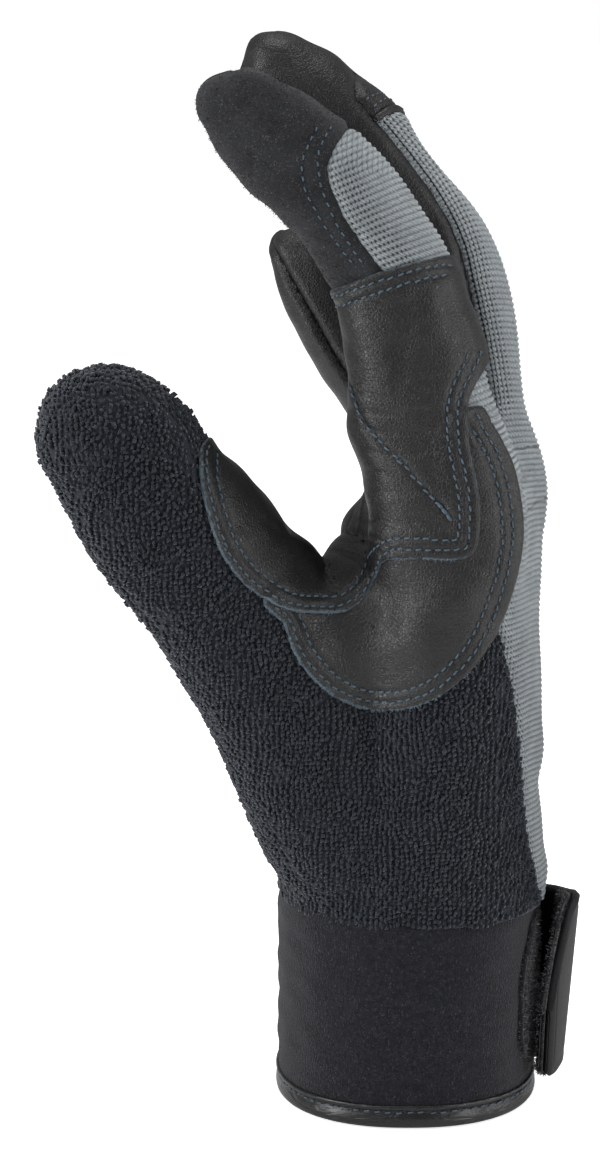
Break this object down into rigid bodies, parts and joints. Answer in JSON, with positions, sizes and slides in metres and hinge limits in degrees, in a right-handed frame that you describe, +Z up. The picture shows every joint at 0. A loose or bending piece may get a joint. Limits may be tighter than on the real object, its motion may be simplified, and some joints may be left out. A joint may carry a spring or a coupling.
{
  "type": "rescue glove",
  "caption": "Right-hand rescue glove with towelling thumb, ribbed knit back, leather palm and patches, suede index finger, knitted cuff and a hook-and-loop wrist tab.",
  "frame": {"origin": "middle of the cuff's mouth, in the plane of its lowest edge", "axes": "+Z up the forearm towards the fingertips, +X out of the back of the hand, -X out of the palm, -Y towards the thumb side"},
  "size_m": [0.121, 0.1036, 0.2432],
  "materials": {
    "cuff_knit": "near-black close elastic knit, finely mottled",
    "binding": "black folded binding, half gloss",
    "tab_rubber": "black flexible moulding, satin",
    "hook": "black hook tape",
    "pile": "black brushed pile",
    "towelling": "blue-black towelling loops in wales",
    "leather": "charcoal smooth leather, pebbled",
    "patch_leather": "charcoal smooth leather, pebbled, with raw blue-grey cut edges",
    "suede": "charcoal suede, matte",
    "rib_knit": "grey stretch knit with cross ribs"
  },
  "bodies": {
    "root": {"cuff": "cuff_knit", "cuff_binding": "binding", "closure_tab": "tab_rubber", "hook_tape": "hook", "loop_patch": "pile", "terry_panel": "towelling", "palm_panel": "leather", "back_panel": "rib_knit", "index_knit": "rib_knit", "index_cap": "suede", "middle_cap": "leather", "ring_cap": "leather", "little_cap": "leather", "fourchette_index_middle": "leather", "fourchette_middle_ring": "leather", "fourchette_ring_little": "leather", "grip_patch": "patch_leather", "saddle_patch": "patch_leather"}
  },
  "joints": []
}
